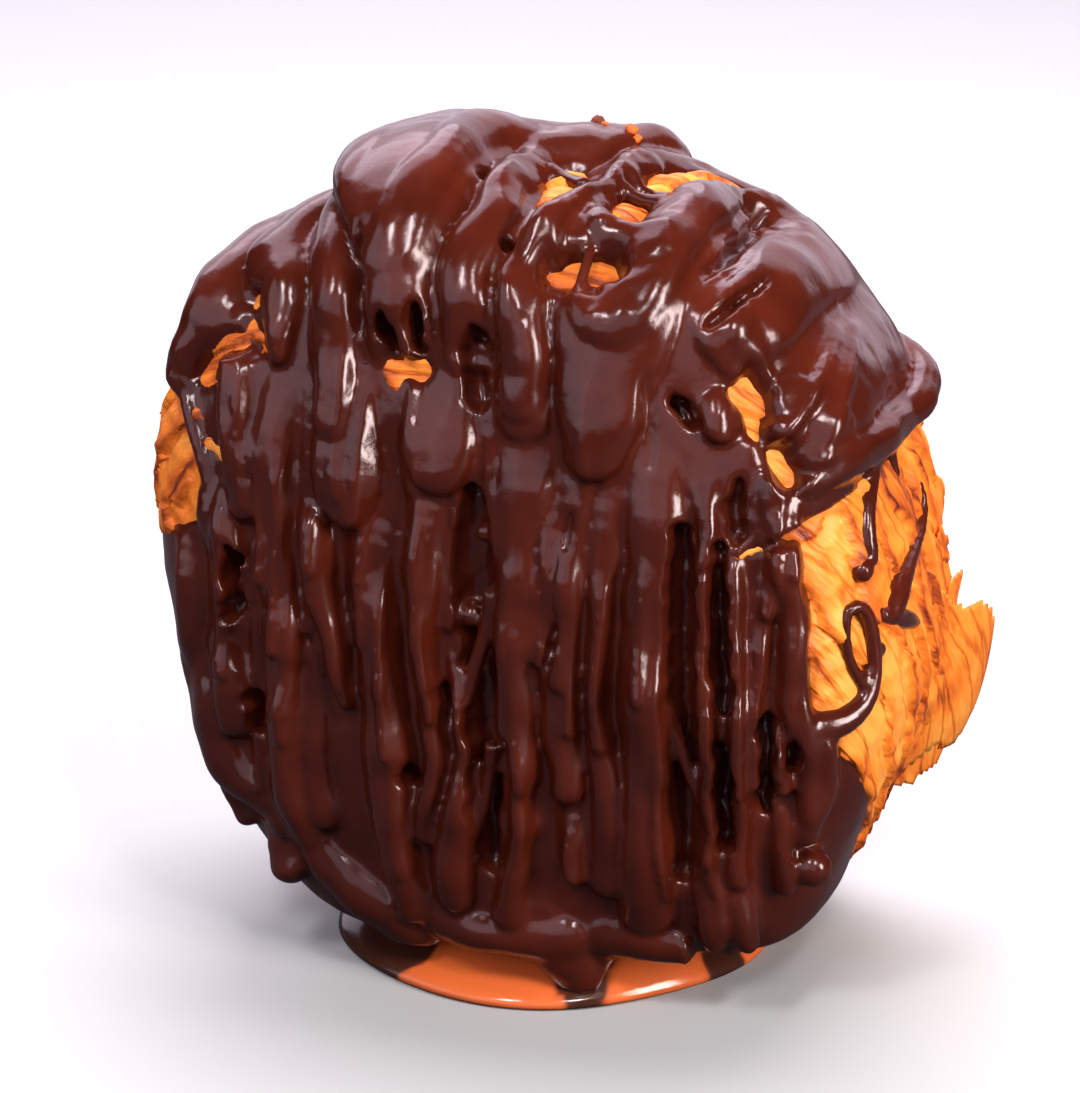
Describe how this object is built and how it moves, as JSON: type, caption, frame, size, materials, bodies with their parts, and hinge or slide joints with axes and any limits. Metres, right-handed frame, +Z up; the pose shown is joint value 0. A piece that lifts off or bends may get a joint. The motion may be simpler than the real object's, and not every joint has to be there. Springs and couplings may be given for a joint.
{
  "type": "croissant roll",
  "caption": "Drum-shaped spiral croissant roll standing on its rim, glossy chocolate poured over its top and front face, a pool of paler sauce round its foot.",
  "frame": {"origin": "on the ground under the middle of the whole part", "axes": "+Z up, +Y along the roll's axis from the coated front face to the bare back face, +X to the right seen from the front"},
  "size_m": [0.1052, 0.074, 0.1126],
  "materials": {
    "crust": "baked golden crust, satin",
    "chocolate": "glossy dark chocolate",
    "sauce": "glossy pale chocolate sauce"
  },
  "bodies": {
    "root": {"croissant_roll": "crust", "chocolate_coat": "chocolate", "sauce_pool": "sauce"}
  },
  "joints": []
}
